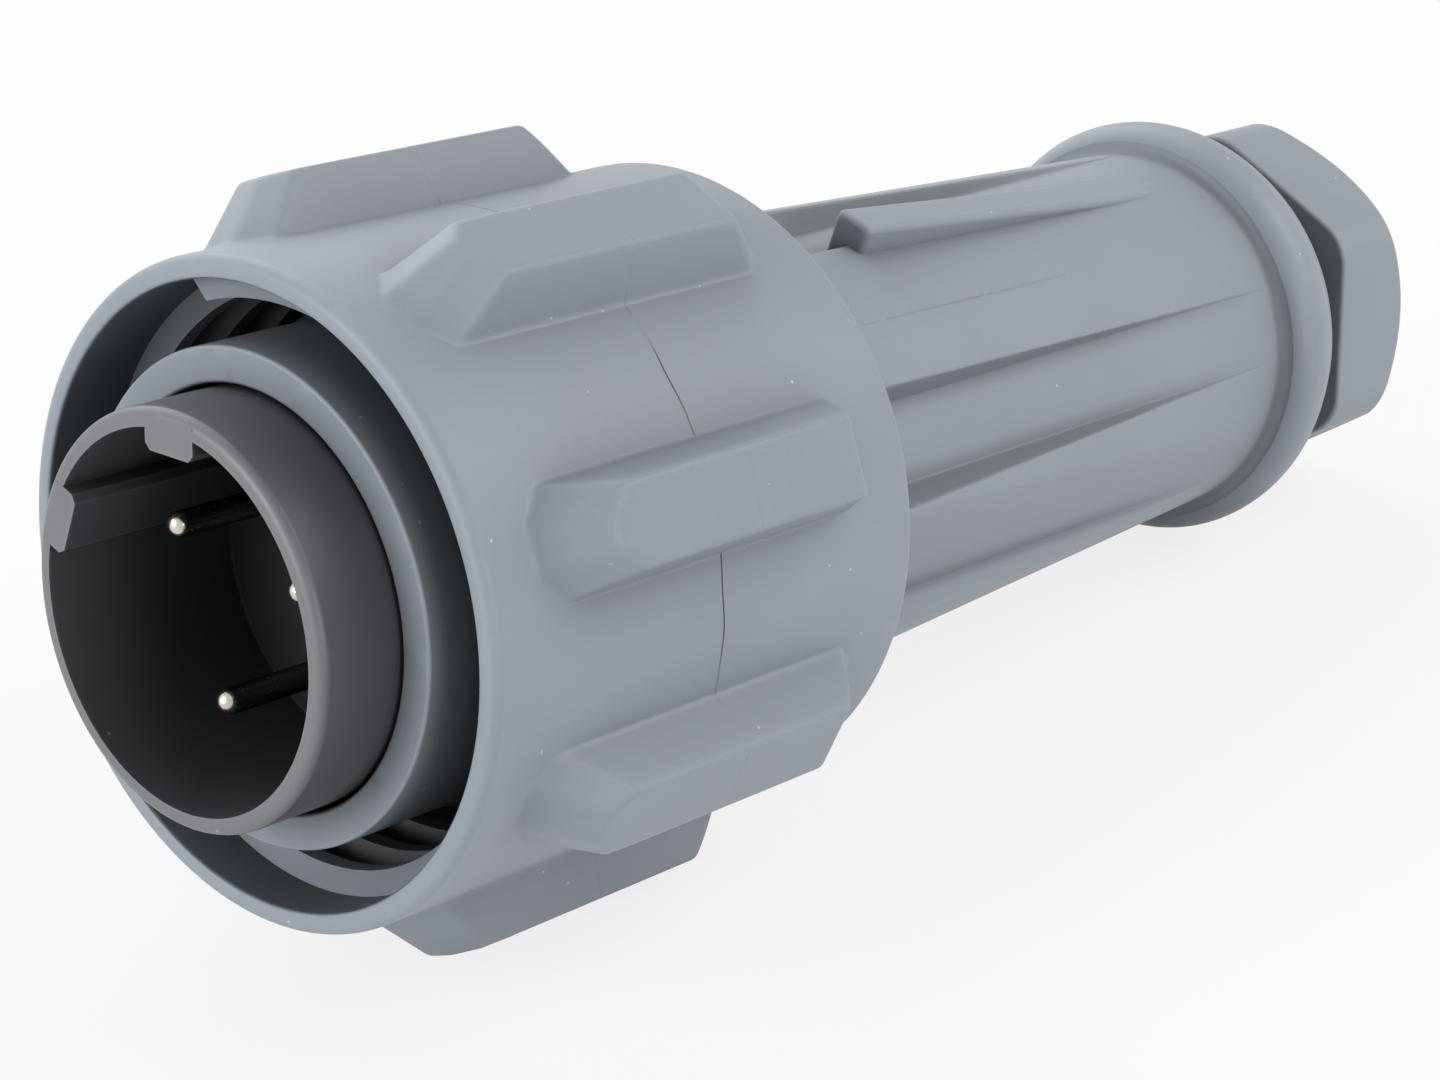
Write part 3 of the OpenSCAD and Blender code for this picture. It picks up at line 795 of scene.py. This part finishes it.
def ring_inside():
    """Profile from the rear edge through the bore and over the flange to the front lip."""
    profile = arc(RING_LEN - RING_EDGE, RING_R - RING_EDGE, RING_EDGE, 90, 0, 5)
    profile += arc(RING_LEN - FINE_EDGE, RING_BORE + FINE_EDGE, FINE_EDGE, 0, -90, 3)
    profile += [
        (FLANGE_END + FLANGE_ROOT, RING_BORE),
        (FLANGE_END, RING_BORE - FLANGE_ROOT),
        (FLANGE_END, FLANGE_BORE + FINE_EDGE),
        (FLANGE_END - FINE_EDGE, FLANGE_BORE),
        (FLANGE_X + FINE_EDGE, FLANGE_BORE),
        (FLANGE_X, FLANGE_BORE + FINE_EDGE),
        (FLANGE_X, RING_BORE - FLANGE_ROOT),
        (FLANGE_X - FLANGE_ROOT, RING_BORE),
    ]
    profile += arc(LIP_INNER_R, RING_BORE + LIP_INNER_R, LIP_INNER_R, 270, 180, 5)
    profile += arc(LIP_R, RING_R - LIP_R, LIP_R, 180, 90, 8)[:-1]
    return np.array(profile).T


def add_ring():
    columns, off = ring_columns()
    outer_x, outer_r = ring_outside(columns, off)
    inner_x, inner_r = (np.tile(row[:, None], len(columns)) for row in ring_inside())
    x = np.concatenate([outer_x, inner_x])
    radius = np.concatenate([outer_r, inner_r])
    angle = np.broadcast_to(columns, x.shape)
    # painted shade in the ring's bore
    in_bore = (radius < RING_BORE + FINE_EDGE / 2) & (x < FLANGE_END)
    painted_shade = np.where(in_bore, BORE_PAINTED_SHADE, 0.0)
    piece = skin("coupling_ring_skin", x, radius, angle, "ring", "grey_plastic", painted_shade)
    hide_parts("coupling_ring")


# Body

def grip_radius(x):
    return GRIP_FRONT_R + (GRIP_BACK_R - GRIP_FRONT_R) * (x - SHOULDER_X) / (FILLET_X - SHOULDER_X)


FLUTE_FLOOR = grip_radius(FLUTE_END)


def wall_angle(radius, half_width):
    """Angle from a flute's middle to its leaning wall, at a radius."""
    lean = math.radians(FLUTE_DRAFT)
    reach = half_width * math.cos(lean) - FLUTE_FLOOR * math.sin(lean)
    return FLUTE_DRAFT + math.degrees(math.asin(reach / radius))


def wall_radius(off, half_width):
    """Radius of a flute's leaning wall, at angles from the flute's middle."""
    lean = math.tan(math.radians(FLUTE_DRAFT))
    turn = np.radians(np.clip(off, *WALL_CLIP))
    return (half_width - FLUTE_FLOOR * lean) / (np.sin(turn) - lean * np.cos(turn))


def angles_from(centre, angle):
    """Angles from a centre, between -180 and 180."""
    return (angle - centre + 180.0) % 360.0 - 180.0


def grip_columns(cone):
    """Angles round the grip for a radius of its cone, close together at the flutes' edges."""
    crease = wall_angle(FLUTE_FLOOR, FLUTE_W / 2)
    mouth = max(wall_angle(cone, FLUTE_W / 2), crease + LEAST_WALL)
    first, second = FLUTE_ANGLES
    run_out = OPEN_ANGLE - math.degrees(math.acos(FLUTE_FLOOR / cone))
    foot = wall_angle(FLUTE_FLOOR, OPEN_WALL)
    brow = max(wall_angle(cone, OPEN_WALL), foot + LEAST_WALL)
    land = second + mouth
    if run_out < land + LEAST_LAND:
        land -= LEAST_LAND / 2
        run_out = land + LEAST_LAND
    edges = [
        first - mouth, first - crease, first + crease, first + mouth,
        second - mouth, second - crease, second + crease, land,
        run_out, OPEN_ANGLE + foot, OPEN_ANGLE + brow, first + 180.0 - mouth,
    ]
    half_turn = np.concatenate([
        start + (stop - start) * (1 - np.cos(np.pi * np.arange(count) / count)) / 2
        for start, stop, count in zip(edges, edges[1:], GRIP_COLUMNS)
    ])
    return np.concatenate([half_turn, half_turn + 180.0])


def fluted_row(x):
    """Angles, radii and painted shade of a section of the grip, with columns that follow the flutes' edges.
    """
    cone = min(max(grip_radius(x), FLUTE_FLOOR), GRIP_FRONT_R)
    angle = grip_columns(cone)
    radius = np.full(len(angle), cone)
    painted_shade = np.zeros(len(angle))
    depth = max(cone - FLUTE_FLOOR, LEAST_DEPTH)
    blend = min(FLUTE_BLEND, BLEND_SHARE * depth)
    deepest_shade = min(depth, 1.0)
    if FLUTE_START < x < FLUTE_END:
        crease = wall_angle(FLUTE_FLOOR, FLUTE_W / 2)
        for centre in [middle + side for middle in FLUTE_ANGLES for side in (0.0, 180.0)]:
            off = np.abs(angles_from(centre, angle))
            wall = wall_radius(off, FLUTE_W / 2)
            cut = larger(radius, larger(wall, FLUTE_FLOOR, blend), -blend)
            radius = np.where(off < FLUTE_REACH, cut, radius)
            # painted shade on the flutes' walls and on their floors beside the walls
            near_wall = np.clip(1.0 - (crease - off) / FLOOR_SHADE_SPAN, 0.0, 1.0)
            painted_shade = np.maximum(painted_shade, np.where(wall < cone - blend / 2, near_wall * deepest_shade, 0.0))
    if OPEN_START < x < FLUTE_END:
        foot = wall_angle(FLUTE_FLOOR, OPEN_WALL)
        for centre in (OPEN_ANGLE, OPEN_ANGLE + 180.0):
            off = angles_from(centre, angle)
            inside = (off > -OPEN_REACH) & (off < FLUTE_REACH)
            floor = FLUTE_FLOOR / np.cos(np.radians(np.clip(off, -FLOOR_CLIP, FLOOR_CLIP)))
            cut = larger(radius, larger(wall_radius(off, OPEN_WALL), floor, blend), -blend)
            radius = np.where(inside, cut, radius)
            # painted shade on the open flute's floor beside its wall
            on_floor = np.clip(1.0 - (foot - off) / OPEN_SHADE_SPAN, 0.0, 1.0)
            below_brow = np.clip(OPEN_SHADE_TOP - (off - foot), 0.0, 1.0)
            painted_shade = np.maximum(painted_shade, np.where(inside, on_floor * below_brow * deepest_shade, 0.0))
    return angle, radius, painted_shade


def body_front():
    """Profile of the sleeve with its grooves, from the front face to the grip's shoulder."""
    profile = arc(SLEEVE_EDGE, SLEEVE_R - SLEEVE_EDGE, SLEEVE_EDGE, 180, 90, 4)
    for start, end, low in (O_RING_GROOVE, CLIP_GROOVE):
        profile += [(start, SLEEVE_R), (start, low), (end, low), (end, SLEEVE_R)]
    return profile + [(SHOULDER_X, SLEEVE_R), (SHOULDER_X, GRIP_FRONT_R - BODY_EDGE)]


def grip_stations():
    """Stations of the fluted grip, in pairs where the flutes start."""
    starts = [start + step for start in (FLUTE_START, OPEN_START) for step in (-FLUTE_STEP, FLUTE_STEP)]
    return np.concatenate([
        (SHOULDER_X + BODY_EDGE, *starts),
        np.arange(*LONG_ROWS),
        np.arange(*CLOSE_ROWS),
        (LAST_ROW,),
    ])


def body_rear():
    """Profile from the collar's fillet over the collar, step and neck, and back through the inside."""
    edge = BODY_EDGE
    crown_start = math.degrees(math.asin((FILLET_R + GRIP_BACK_R - COLLAR_R + CROWN_FRONT) / CROWN_FRONT))
    crown_end = math.degrees(math.asin((COLLAR_END - COLLAR_X) / CROWN_BACK))
    profile = arc(FILLET_X, GRIP_BACK_R + FILLET_R, FILLET_R, -90, 0, 8)
    profile += arc(COLLAR_X, COLLAR_R - CROWN_FRONT, CROWN_FRONT, 180 - crown_start, 90, 12)
    profile += arc(COLLAR_X, COLLAR_R - CROWN_BACK, CROWN_BACK, 90, 90 - crown_end, 6)[1:]
    profile += [(COLLAR_END, STEP_R + edge), (COLLAR_END + edge, STEP_R)]
    profile += arc(STEP_END - edge, STEP_R - edge, edge, 90, 0, 3)
    profile += [(STEP_END, NECK_R + edge), (STEP_END + edge, NECK_R)]
    profile += [(NECK_END - edge, NECK_R), (NECK_END, NECK_R - edge), (NECK_END, CHAMBER_R)]
    profile += [(CHAMBER_X, CHAMBER_R), (CHAMBER_X, CABLE_HOLE_R), (WIRING_END, CABLE_HOLE_R)]
    profile += [(WIRING_END, WIRING_R), (INSERT_SEAT, WIRING_R), (INSERT_SEAT, INSERT_BORE)]
    return profile + arc(SLEEVE_EDGE, INSERT_BORE + SLEEVE_EDGE, SLEEVE_EDGE, 270, 180, 3)


def add_body():
    rows = []
    for x, radius in body_front():
        angle, _, painted_shade = fluted_row(FLUTE_START)
        rows.append((np.full(len(angle), x), np.full(len(angle), radius), angle, painted_shade))
    for x in grip_stations():
        angle, radius, painted_shade = fluted_row(x)
        rows.append((np.full(len(angle), x), radius, angle, painted_shade))
    for x, radius in body_rear():
        angle, _, painted_shade = fluted_row(FLUTE_END)
        # painted shade in the collar's fillet
        if FILLET_X < x < FILLET_X + FILLET_R and radius < COLLAR_R:
            painted_shade = painted_shade + FILLET_PAINTED_SHADE * math.sin(math.pi * (x - FILLET_X) / FILLET_R)
        rows.append((np.full(len(angle), x), np.full(len(angle), radius), angle, painted_shade))
    x, radius, angle, painted_shade = (np.array(grid) for grid in zip(*rows))
    piece = skin("body_skin", x, radius, angle, "plug", "grey_plastic", painted_shade)
    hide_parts("body_shell")


# Marker ridge and flash

def ridge_top(x):
    """Radius of the marker ridge's top, which falls back to the grip."""
    share = (x - RIDGE_START) / (RIDGE_END - RIDGE_START)
    front = grip_radius(RIDGE_START) + RIDGE_H
    return front + (grip_radius(RIDGE_END) - front) * share


def ridge_section(x, inset):
    """World points of the marker ridge's section, from its foot over the rounded top."""
    half = RIDGE_W / 2 - inset
    corner = ridge_top(x) - inset - RIDGE_ROUND
    outline = [(-half, RIDGE_FOOT)]
    outline += arc(-half + RIDGE_ROUND, corner, RIDGE_ROUND, 180, 90, 5)
    outline += arc(half - RIDGE_ROUND, corner, RIDGE_ROUND, 90, 0, 5)
    outline += [(half, RIDGE_FOOT)]
    across, height = np.array(outline).T
    return to_world(x, np.hypot(across, height), RIDGE_ANGLE + np.degrees(np.arctan2(across, height)))


def add_ridge():
    """Marker ridge with a blunt round front, which runs out below the grip."""
    sections = []
    for turn in np.radians(np.linspace(90, 0, RIDGE_NOSE_SECTIONS)):
        x = RIDGE_START + RIDGE_ROUND * (1 - math.sin(turn))
        sections.append(ridge_section(x, RIDGE_ROUND * (1 - math.cos(turn)) * RIDGE_NOSE))
    start = RIDGE_START + RIDGE_STRAIGHT
    for x in np.linspace(start, RIDGE_END + RIDGE_RUN_OUT, RIDGE_STRAIGHT_SECTIONS):
        sections.append(ridge_section(x, 0.0))
    loft("marker_ridge", sections, "plug", "grey_plastic")


def add_flash():
    """Thin flash along the grip, where the halves of the body's mould met."""
    start, end = FLASH_SPAN
    sections = []
    for x in np.linspace(start, end, FLASH_SECTIONS):
        share = (x - start) / (end - start)
        swell = FLASH_END + (1 - FLASH_END) * math.sin(math.pi * share)
        ripple = 1 - FLASH_RIPPLE + FLASH_RIPPLE * math.sin(FLASH_RIPPLE_TURN * x)
        base = grip_radius(x)
        sunk = base - FLASH_SUNK
        half = math.degrees(FLASH_W / 2 / base)
        radius = np.array([sunk, base + FLASH_H * swell * ripple, sunk])
        sections.append(to_world(x, radius, FLASH_ANGLE + np.array([-half, 0.0, half])))
    loft("body_flash", sections, "plug", "grey_plastic")


# Gland nut

def hexagon_radius(off):
    """Radius of a hexagon with round corners, at angles from the middle of a flat."""
    half_flat = math.radians(HALF_FLAT)
    centre = (NUT_R - NUT_CORNER) / math.cos(half_flat)
    flat_end = math.degrees(math.atan2(centre * math.sin(half_flat), NUT_R))
    turn = np.radians(np.abs(off))
    corner = np.radians(HALF_FLAT - np.abs(off))
    across = np.minimum(centre * np.sin(corner), NUT_CORNER)
    rounded = centre * np.cos(corner) + np.sqrt(NUT_CORNER ** 2 - across ** 2)
    return np.where(np.abs(off) < flat_end, NUT_R / np.cos(turn), rounded)


def add_nut():
    """Hexagon with a rounded front edge, cut at the rear by a bevel that turns into a round end."""
    angle = np.arange(0.0, 360.0, NUT_STEP) + NUT_ANGLE
    hexagon = hexagon_radius((angle - NUT_ANGLE + HALF_FLAT) % (2 * HALF_FLAT) - HALF_FLAT)
    bevel = math.radians(NUT_BEVEL)
    edge_x = NUT_END - NUT_ROUND
    edge_r = NUT_R - NUT_ROUND
    bevel_x = edge_x + NUT_ROUND * math.sin(bevel)
    bevel_r = edge_r + NUT_ROUND * math.cos(bevel)
    rows = []
    for turn in np.radians(np.linspace(90, 0, NUT_EDGE_ROWS)):
        x = NUT_FRONT + NUT_EDGE * (1 - math.sin(turn))
        rows.append((x, hexagon - NUT_EDGE * (1 - math.cos(turn))))
    for x in np.concatenate([NUT_ROWS, np.arange(BEVEL_START, bevel_x, BEVEL_STEP)]):
        rows.append((x, larger(hexagon, bevel_r + (bevel_x - x) * math.tan(bevel), -NUT_BLEND)))
    for x, radius in arc(edge_x, edge_r, NUT_ROUND, 90 - NUT_BEVEL, 0, 10):
        rows.append((x, larger(hexagon, radius, -NUT_BLEND)))
    plain = arc(NUT_END - NUT_EDGE, CABLE_HOLE_R + NUT_EDGE, NUT_EDGE, 0, -90, 3)
    plain += [(NUT_FACE, CABLE_HOLE_R), (NUT_FACE, NUT_BORE)]
    plain += [(NUT_FRONT + NUT_EDGE, NUT_BORE), (NUT_FRONT, NUT_BORE + NUT_EDGE)]
    rows += [(x, np.full(len(angle), radius)) for x, radius in plain]
    x = np.array([np.full(len(angle), station) for station, _ in rows])
    radius = np.array([row for _, row in rows])
    piece = skin("gland_nut_skin", x, radius, np.broadcast_to(angle, radius.shape), "nut", "grey_plastic")
    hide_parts("gland_nut")


# Threads

def helix(name, body, start_x, start_angle, turns, lead, section, fade, steps):
    """A thread: a section of (x, radius) points swept along a right-handed helix.

    The first end is cut square and the last `fade` degrees run out into the wall, where the
    section's first and last points lie. Gives the piece and the sweep of each of its points.
    """
    wall = section[0][1]
    offset, radius = np.array(section).T
    sweeps = np.linspace(0.0, 360.0 * turns, int(round(turns * steps)) + 1)
    sections = []
    for sweep in sweeps:
        height = max(min(1.0, (360.0 * turns - sweep) / fade), LEAST_HEIGHT)
        reach = wall + (radius - wall) * height
        sections.append(to_world(start_x + lead * sweep / 360.0 + offset, reach, start_angle + sweep))
    return loft(name, sections, body, "grey_plastic"), np.repeat(sweeps, len(section))


def thread_section(root, crest, root_width, crest_width):
    """Trapezium from the root radius to the crest radius, front flank first."""
    lean = (root_width - crest_width) / 2
    return [
        (0.0, root),
        (lean, crest),
        (lean + crest_width, crest),
        (root_width, root),
    ]


def add_ring_thread():
    """Coarse thread inside the ring, with painted shade deep in the bore."""
    section = thread_section(RING_BORE + EMBED, RING_CREST, RING_ROOT_WIDTH, RING_CREST_WIDTH)
    piece, sweep = helix(
        "ring_thread", "ring", RING_THREAD_X, RING_THREAD_START, RING_THREAD_TURNS, RING_LEAD,
        section, RING_THREAD_FADE, RING_THREAD_STEPS,
    )
    # painted shade on the deeper turns
    give_painted_shade(piece, np.interp(sweep, DEEP_SWEEP, (0.0, DEEP_PAINTED_SHADE)))


def add_gland_thread(name, body, x, turns, root, crest):
    section = thread_section(root, crest, GLAND_ROOT_WIDTH, GLAND_CREST_WIDTH)
    helix(name, body, x, 0.0, turns, GLAND_PITCH, section, GLAND_FADE, GLAND_STEPS)


def add_threads():
    """All threads; the nut's starts a pitch inside its mouth, half a pitch off the neck's turns."""
    in_phase = NUT_X - (NUT_X - NECK_X) % GLAND_PITCH
    nut_x = in_phase + GLAND_PITCH / 2 + GLAND_PITCH
    add_ring_thread()
    add_gland_thread("neck_thread", "plug", NECK_X, NECK_TURNS, NECK_R - EMBED, NECK_CREST)
    add_gland_thread("nut_thread", "nut", nut_x, NUT_TURNS, NUT_BORE + EMBED, NUT_CREST)


# Stage

def add_floor():
    turns = [2 * math.pi * side / FLOOR_SIDES for side in range(FLOOR_SIDES)]
    rim = [(FLOOR_R * math.cos(turn), FLOOR_R * math.sin(turn), 0.0) for turn in turns]
    mesh = bpy.data.meshes.new("floor")
    mesh.from_pydata(rim, [], [tuple(range(FLOOR_SIDES))])
    floor = bpy.data.objects.new("floor", mesh)
    bpy.context.scene.collection.objects.link(floor)
    mesh.materials.append(pale_floor("floor_look"))


def add_lamp(name, direction, distance, size, level, colour):
    """A soft disk lamp; its level is the light it would give a white wall facing it."""
    lamp = bpy.data.lights.new(name, "AREA")
    lamp.shape = "DISK"
    lamp.size = size
    lamp.energy = math.pi ** 2 * level * distance ** 2
    lamp.color = colour
    holder = bpy.data.objects.new(name, lamp)
    toward = Vector(direction).normalized()
    holder.location = Vector(LAMP_AIM) + toward * distance
    holder.rotation_euler = (-toward).to_track_quat("-Z", "Y").to_euler()
    bpy.context.scene.collection.objects.link(holder)


def add_world():
    """Even soft light all round; what looks at it sees white."""
    world = bpy.data.worlds.new("soft_tent")
    bpy.context.scene.world = world
    world.use_nodes = True
    tree = world.node_tree
    tree.nodes.clear()
    out = tree.nodes.new("ShaderNodeOutputWorld")
    mix = tree.nodes.new("ShaderNodeMixShader")
    for socket, colour, strength in ((1, WORLD_COLOUR, WORLD_LIGHT), (2, WHITE, 1.0)):
        light = tree.nodes.new("ShaderNodeBackground")
        light.inputs["Color"].default_value = (*colour, 1.0)
        light.inputs["Strength"].default_value = strength
        tree.links.new(light.outputs["Background"], mix.inputs[socket])
    tree.links.new(seen_rays(tree), mix.inputs["Fac"])
    tree.links.new(mix.outputs["Shader"], out.inputs["Surface"])


def add_camera():
    camera = bpy.data.cameras.new("camera")
    camera.sensor_fit = "HORIZONTAL"
    camera.sensor_width = SENSOR
    camera.lens = LENS
    camera.clip_start, camera.clip_end = CAMERA_CLIP
    holder = bpy.data.objects.new("camera", camera)
    look = (Vector(CAMERA_AIM) - Vector(CAMERA_PLACE)).to_track_quat("-Z", "Y").to_matrix()
    roll = Matrix.Rotation(math.radians(CAMERA_ROLL), 3, "Z")
    holder.matrix_world = Matrix.Translation(CAMERA_PLACE) @ (look @ roll).to_4x4()
    bpy.context.scene.collection.objects.link(holder)
    bpy.context.scene.camera = holder


# Build

bpy.context.scene.view_settings.view_transform = "Standard"
add_camera()
add_world()
for lamp in LAMPS:
    add_lamp(*lamp)
add_floor()

for node in frame["nodes"].values():
    dress_node(node, node.material_slots[0].material.name.split(".")[0])
add_ring()
add_body()
add_ridge()
add_flash()
add_nut()
add_threads()
